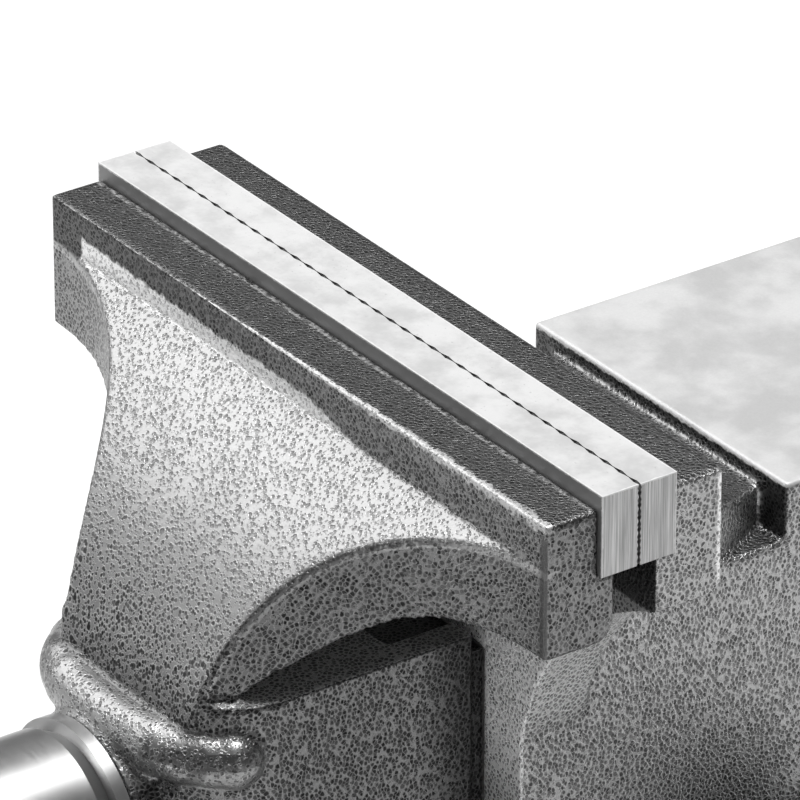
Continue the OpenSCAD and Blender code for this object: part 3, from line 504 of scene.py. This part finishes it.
def jaw_plate_steel(name):
    """Ground tops, sawn ends with upright grain, blackened faces, bright edges."""
    g = Graph(name)
    top = g.step(g.size(g.nz), 0.6, 0.9)
    end = g.step(g.size(g.nx), 0.6, 0.9)
    cloud = g.noise(g.p, 0.10, detail=4.0, rough=0.65)
    speck = g.noise(g.p, 1.2, detail=3.0, rough=0.6)
    ground = g.mix(g.step(cloud, 0.30, 0.62), 0.64, 0.82)
    ground = g.mix(g.step(speck, 0.62, 0.74), ground, 0.60)
    grain = g.noise(g.stretched(4.0, 4.0, 0.06), 1.0, detail=3.0, rough=0.7)
    streak = g.noise(g.stretched(0.9, 0.9, 0.02), 1.0, detail=2.0, rough=0.6)
    sawn = g.mul(g.mix(g.step(grain, 0.25, 0.75), 0.42, 1.0),
                 g.mix(g.step(streak, 0.35, 0.55), 0.80, 1.0))
    black = g.mix(cloud, 0.26, 0.36)
    colour = g.mix(end, g.mix(top, black, ground), sawn)

    out = (g.size(g.x), PLATE_HALF_LENGTH)
    back = (g.size(g.sub(g.y, PLATE_SEAM_Y)), PLATE_THICKNESS)
    upper = (g.z, PLATE_TOP)
    edge = g.least(g.away(out, upper), g.away(out, back), g.away(back, upper))
    edge = g.add(edge, g.mul(g.noise(g.p, 0.9, detail=3.0, rough=0.6), 0.7))
    colour = g.mix(g.step(edge, 0.75, 0.45), colour, 0.92)
    return g.surface(
        Base_Color=g.grey(colour),
        Metallic=0.35,
        Roughness=g.mix(top, 0.42, 0.5),
        Normal=g.bump(g.mix(end, g.mul(cloud, 0.3), grain), depth=0.03, strength=0.5),
    )


ALONG, ACROSS = 3.0, 0.15  # waves of the rings a millimetre, along the bar and across it


def turned_steel(name, tone, rough, axis):
    """Turned or drawn steel with fine rings; axis 0, 1 or 2 runs along the bar."""
    g = Graph(name)
    scales = [ALONG if at == axis else ACROSS for at in range(3)]
    rings = g.noise(g.stretched(*scales), 1.0, detail=3.0, rough=0.6)
    stain = g.noise(g.p, 0.12, detail=4.0, rough=0.6)
    return g.surface(
        Base_Color=g.grey(g.mix(stain, tone * 0.78, tone * 1.1)),
        Metallic=1.0,
        Roughness=g.mix(rings, rough * 0.75, rough * 1.25),
        Normal=g.bump(rings, depth=0.02, strength=0.35),
    )


def black_oxide(name):
    """Blackened steel, rubbed in places."""
    g = Graph(name)
    stain = g.noise(g.p, 0.3, detail=4.0, rough=0.6)
    rubbed = g.step(g.noise(g.p, 0.8, detail=3.0, rough=0.7), 0.60, 0.80)
    return g.surface(
        Base_Color=g.grey(g.mix(rubbed, g.mix(stain, 0.035, 0.06), 0.16)),
        Metallic=0.9,
        Roughness=g.mix(stain, 0.34, 0.5),
        Normal=g.bump(stain, depth=0.02, strength=0.3),
    )


def cast_iron(name):
    """Bare cast iron with pores."""
    g = Graph(name)
    pores = g.cells(g.p, 1.6).outputs["Distance"]
    stain = g.noise(g.p, 0.2, detail=4.0, rough=0.6)
    return g.surface(
        Base_Color=g.grey(g.mix(stain, 0.13, 0.24)),
        Metallic=0.8,
        Roughness=g.mix(stain, 0.45, 0.62),
        Normal=g.bump(pores, depth=0.08, strength=0.5),
    )


jaw_steel = jaw_plate_steel("jaw_steel")
screw_steel = turned_steel("screw_steel", tone=0.55, rough=0.34, axis=1)
washer_steel = turned_steel("washer_steel", tone=0.58, rough=0.36, axis=2)
handle_steel = turned_steel("handle_steel", tone=0.72, rough=0.16, axis=0)
dark_steel = black_oxide("dark_steel")
nut_iron = cast_iron("nut_iron")

LOOKS = {
    "swivel_base": cast_paint("base_paint", base_marks),
    "fixed_jaw": cast_paint("body_paint", fixed_jaw_marks),
    "moving_jaw": cast_paint("jaw_paint", moving_jaw_marks),
    "front_jaw_plate": jaw_steel,
    "rear_jaw_plate": jaw_steel,
    "front_plate_screws": dark_steel,
    "rear_plate_screws": dark_steel,
    "lead_screw": screw_steel,
    "thrust_washer": screw_steel,
    "spring_washers": screw_steel,
    "screw_spring": screw_steel,
    "retaining_pin": dark_steel,
    "lead_nut": nut_iron,
    "lead_nut_bolt": dark_steel,
    "lead_nut_washer": washer_steel,
    "handle_bar": handle_steel,
    "handle_knob_left": handle_steel,
    "handle_knob_right": handle_steel,
    "lock_bolts": dark_steel,
    "lock_washers": washer_steel,
    "lock_nut_left": dark_steel,
    "lock_nut_right": dark_steel,
    "lock_lever_left": handle_steel,
    "lock_lever_right": handle_steel,
}
for name, look in LOOKS.items():
    mesh = NODES[name].data
    mesh.materials.clear()
    mesh.materials.append(look)


# ---------------------------------------------------------------- rounded castings
def round_casting(name, voxel, share, rounds):
    """Soft cast edges: a skin of voxels, smoothed and thinned to a share of its faces."""
    ob = NODES[name]
    remesh = ob.modifiers.new("Skin", "REMESH")
    remesh.mode = "VOXEL"
    remesh.voxel_size = voxel
    remesh.use_smooth_shade = True
    smooth = ob.modifiers.new("Soft edges", "SMOOTH")
    smooth.factor = 0.5
    smooth.iterations = rounds
    thin = ob.modifiers.new("Thin", "DECIMATE")
    thin.ratio = share
    normals = ob.modifiers.new("Normals", "WEIGHTED_NORMAL")
    normals.keep_sharp = False


round_casting("moving_jaw", voxel=0.7 * MM, share=0.3, rounds=2)
round_casting("fixed_jaw", voxel=0.8 * MM, share=0.3, rounds=1)
round_casting("swivel_base", voxel=0.6 * MM, share=0.2, rounds=1)


# ---------------------------------------------------------------- floor
FLOOR_SIZE = 8.0
FLOOR_DROP = 0.3 * MM
FLOOR_GLOW = 0.12


def white_card(name):
    """White card that glows a little where it is seen, and lights nothing by that."""
    g = Graph(name)
    path = g.node("ShaderNodeLightPath")
    kinds = ("Is Camera Ray", "Is Glossy Ray", "Is Transmission Ray")
    seen = g.most(*(path.outputs[kind] for kind in kinds))
    return g.surface(
        Base_Color=g.grey(g.mix(g.noise(g.p, 0.004, detail=3.0), 0.84, 0.88)),
        Roughness=0.8,
        Specular_IOR_Level=0.2,
        Emission_Color=(1.0, 1.0, 1.0, 1.0),
        Emission_Strength=g.mul(seen, FLOOR_GLOW),
    )


bpy.ops.mesh.primitive_plane_add(size=FLOOR_SIZE, location=(0, 0, -FLOOR_DROP))
floor = bpy.context.object
floor.name = "floor"
floor.data.materials.append(white_card("floor_card"))


# ---------------------------------------------------------------- light
def softbox(name, place, target, size, watts, beam=180.0):
    """Rectangular soft lamp; beam is the width of its light in degrees."""
    lamp = bpy.data.lights.new(name, "AREA")
    lamp.shape = "RECTANGLE"
    lamp.size, lamp.size_y = size
    lamp.energy = watts
    lamp.spread = math.radians(beam)
    ob = bpy.data.objects.new(name, lamp)
    bpy.context.scene.collection.objects.link(ob)
    ob.location = place
    ob.rotation_euler = (Vector(target) - Vector(place)).to_track_quat("-Z", "Y").to_euler()


JAWS = (0.0, -0.08, 0.13)
softbox("sheen", place=(-1.09, -0.40, 1.05), target=JAWS, size=(1.3, 1.1), watts=9.0)
softbox("low_sheen", place=(-1.09, -1.08, 0.40), target=JAWS, size=(1.2, 0.5), watts=1.3)
softbox("overhead", place=(-0.08, 0.18, 1.45), target=(-0.08, 0.18, 0.0), size=(0.8, 0.8),
        watts=4.4, beam=80.0)

WORLD_GREY = 0.16
world = bpy.data.worlds.new("studio")
world.use_nodes = True
background = world.node_tree.nodes["Background"]
background.inputs["Color"].default_value = (WORLD_GREY, WORLD_GREY, WORLD_GREY, 1)
bpy.context.scene.world = world


# ---------------------------------------------------------------- camera, fitted to the photo
AIM = Vector((0.0, -0.062, 0.165))  # top of the seam between the plates
AZIMUTH, ELEVATION = math.radians(55.11), math.radians(27.44)
DISTANCE = 1.461
FOCAL_PX, IMAGE_PX = 8378.0, 800.0
OFF_RIGHT_PX, OFF_DOWN_PX = 22.5, 88.7  # of the picture's middle from the aim
SENSOR_MM = 36.0

to_camera = Vector((
    math.sin(AZIMUTH) * math.cos(ELEVATION),
    -math.cos(AZIMUTH) * math.cos(ELEVATION),
    math.sin(ELEVATION),
))
camera_data = bpy.data.cameras.new("camera")
camera_data.sensor_width = SENSOR_MM
camera_data.lens = SENSOR_MM * FOCAL_PX / IMAGE_PX
camera_data.clip_start = 0.05
camera_data.clip_end = 30.0
camera = bpy.data.objects.new("camera", camera_data)
bpy.context.scene.collection.objects.link(camera)
camera.location = AIM + to_camera * DISTANCE
forward = -to_camera
right = forward.cross(Vector((0, 0, 1))).normalized()
up = right.cross(forward)
middle = forward + right * (OFF_RIGHT_PX / FOCAL_PX) - up * (OFF_DOWN_PX / FOCAL_PX)
camera.rotation_euler = middle.to_track_quat("-Z", "Y").to_euler()
bpy.context.scene.camera = camera
bpy.context.scene.view_settings.view_transform = "Standard"
